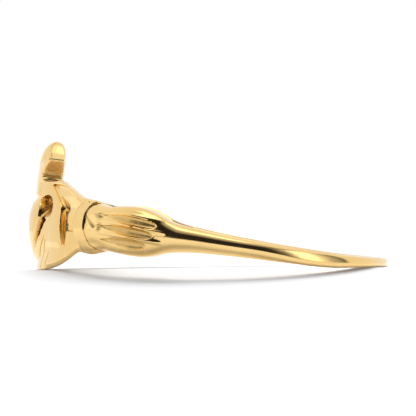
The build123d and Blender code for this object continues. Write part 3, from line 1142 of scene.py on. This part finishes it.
# %% Tent
BRIGHTEST = 2.5
ROUND_THE_TENT = [
    # degrees from the front, positive to the right, and strength
    (-180, 1.00), (-94, 1.00), (-88, 1.15), (-70, 1.15), (-61, 0.95), (-55, 0.022),
    (45, 0.022), (52, 0.20), (58, 0.70), (61, 1.60), (64, 1.90), (75, 1.90), (80, 1.10),
    (88, 0.55), (95, 0.35), (98, 0.08), (100, 0.05), (101, 1.00), (180, 1.00),
]
UP_THE_FRONT = [
    # degrees above the floor, and strength
    (0, 0.03), (33, 0.03), (38, 0.22), (60, 0.85), (63, 2.0), (77, 2.0), (81, 1.0), (90, 1.0),
]
WHITE = 1.0
DEGREES = 180 / math.pi
FRONT_ENDS = (80, 60)
WALL_FOOT = (0.5, 5)
WALL_TOP = (38, 32)
TENT_FOOT = (-1, 2)

world = bpy.data.worlds.new("white_tent")
bpy.context.scene.world = world
world.use_nodes = True
tent = world.node_tree
tent.nodes.clear()


def soft_step(value, start, end):
    """Ease from 0 to 1 between two values."""
    limits = {"Value": value, "From Min": start, "From Max": end}
    node = add_node(tent, "ShaderNodeMapRange", limits, interpolation_type="SMOOTHSTEP")
    return node.outputs["Result"]


def strength_ramp(value, stops):
    """Turn a direction into a strength by a ramp of stops."""
    low, high = stops[0][0], stops[-1][0]
    above_low = arithmetic(tent, "SUBTRACT", value, low)
    share = arithmetic(tent, "DIVIDE", above_low, high - low)
    ramp = add_node(tent, "ShaderNodeValToRGB", {"Fac": share})
    for _ in range(len(stops) - 2):
        ramp.color_ramp.elements.new(0.5)
    for element, (at, strength) in zip(ramp.color_ramp.elements, stops):
        element.position = (at - low) / (high - low)
        grey = strength / BRIGHTEST
        element.color = (grey, grey, grey, 1)
    return arithmetic(tent, "MULTIPLY", ramp.outputs["Color"], BRIGHTEST)


def blend_of(first, second, share):
    """Blend two strengths."""
    change = arithmetic(tent, "SUBTRACT", second, first)
    return arithmetic(tent, "MULTIPLY_ADD", change, share, first)


facing = add_node(tent, "ShaderNodeTexCoord", {}).outputs["Generated"]
parts = add_node(tent, "ShaderNodeSeparateXYZ", {"Vector": facing}).outputs
forward = arithmetic(tent, "MULTIPLY", parts["Y"], -1.0)
azimuth = arithmetic(tent, "MULTIPLY", arithmetic(tent, "ARCTAN2", parts["X"], forward), DEGREES)
height = arithmetic(tent, "MULTIPLY", arithmetic(tent, "ARCSINE", parts["Z"]), DEGREES)
in_front = soft_step(arithmetic(tent, "ABSOLUTE", azimuth), *FRONT_ENDS)
upper = blend_of(WHITE, strength_ramp(height, UP_THE_FRONT), in_front)
above_foot, below_top = soft_step(height, *WALL_FOOT), soft_step(height, *WALL_TOP)
wall_share = arithmetic(tent, "MULTIPLY", above_foot, below_top)
inside_tent = blend_of(upper, strength_ramp(azimuth, ROUND_THE_TENT), wall_share)
strength = blend_of(WHITE, inside_tent, soft_step(height, *TENT_FOOT))
back = add_node(tent, "ShaderNodeBackground", {"Color": (1, 1, 1, 1), "Strength": strength})
add_node(tent, "ShaderNodeOutputWorld", {"Surface": back.outputs["Background"]})
print("tent: white, with a dark gap in front, a lamp above it and one at the right")

# %% [markdown]
# ## Floor
# The floor is a sheet of pale paper. It is level under the ring and droops a little in front of
# it, so the low camera sees the soft shadow that the light from behind casts forwards. The light
# is a wide sun, because a sun lights near and far paper alike. The gold doesn't reflect it.

# %% Floor and light from behind
FLOOR_SIZE = 1.2
FLOOR_ROWS = 600
DROOP_START = -0.004
DROOP_END = -0.10
DROOP = 0.0082
PAPER = {
    "Base Color": (0.50, 0.50, 0.51, 1),
    "Roughness": 0.9,
    "Specular IOR Level": 0.0,
    "Emission Color": (1, 1, 1, 1),
    "Emission Strength": 0.12,
}
LIGHT_STRENGTH = 5.8
LIGHT_SPREAD = math.radians(40)
LIGHT_DIRECTION = (0.12, -0.72, -0.62)

clear_selection()
bpy.ops.mesh.primitive_grid_add(x_subdivisions=2, y_subdivisions=FLOOR_ROWS, size=FLOOR_SIZE)
floor = bpy.context.object
floor.name = "pale_floor"
place = points_of(floor)
place[:, 2] = -DROOP * np.clip((DROOP_START - place[:, 1]) / (DROOP_START - DROOP_END), 0, 1)
place_points(floor, place)
paper = bpy.data.materials.new("pale_floor_paper")
paper.use_nodes = True
for name, value in PAPER.items():
    paper.node_tree.nodes["Principled BSDF"].inputs[name].default_value = value
floor.data.materials.append(paper)

light_data = bpy.data.lights.new("light_from_behind", "SUN")
light_data.energy = LIGHT_STRENGTH
light_data.angle = LIGHT_SPREAD
light = bpy.data.objects.new("light_from_behind", light_data)
bpy.context.collection.objects.link(light)
light.rotation_mode = "QUATERNION"
light.rotation_quaternion = Vector(LIGHT_DIRECTION).to_track_quat("-Z", "Y")
light.visible_glossy = False
print("floor:", floor.name, "and", light.name)

# %% [markdown]
# ## Camera
# The ring is seen from its side, with the head at the left, almost level and from far away, so
# it shows no perspective. The lens is chosen so that the picture is PHOTO_FIELD wide at the
# ring, and the camera is rolled by half a degree, as the ring lies in the photo.

# %% Camera
SENSOR = 36.0
PHOTO_FIELD = 23.37 * MM
CAMERA_DISTANCE = 0.45
CAMERA_ROLL = math.radians(0.5)
CAMERA_ELEVATION = math.radians(0.15)
AIM = (0.00004, 0.0, 0.00338)
camera_data = bpy.data.cameras.new("photo_camera")
camera_data.sensor_width = SENSOR
camera_data.lens = SENSOR * CAMERA_DISTANCE / PHOTO_FIELD
camera = bpy.data.objects.new("photo_camera", camera_data)
bpy.context.collection.objects.link(camera)
camera.location = (
    AIM[0],
    AIM[1] - CAMERA_DISTANCE * math.cos(CAMERA_ELEVATION),
    AIM[2] + CAMERA_DISTANCE * math.sin(CAMERA_ELEVATION),
)
camera.rotation_euler = (math.pi / 2 - CAMERA_ELEVATION, CAMERA_ROLL, 0)
bpy.context.scene.camera = camera
bpy.context.scene.view_settings.view_transform = "Standard"
print("camera lens:", round(camera_data.lens), "mm")
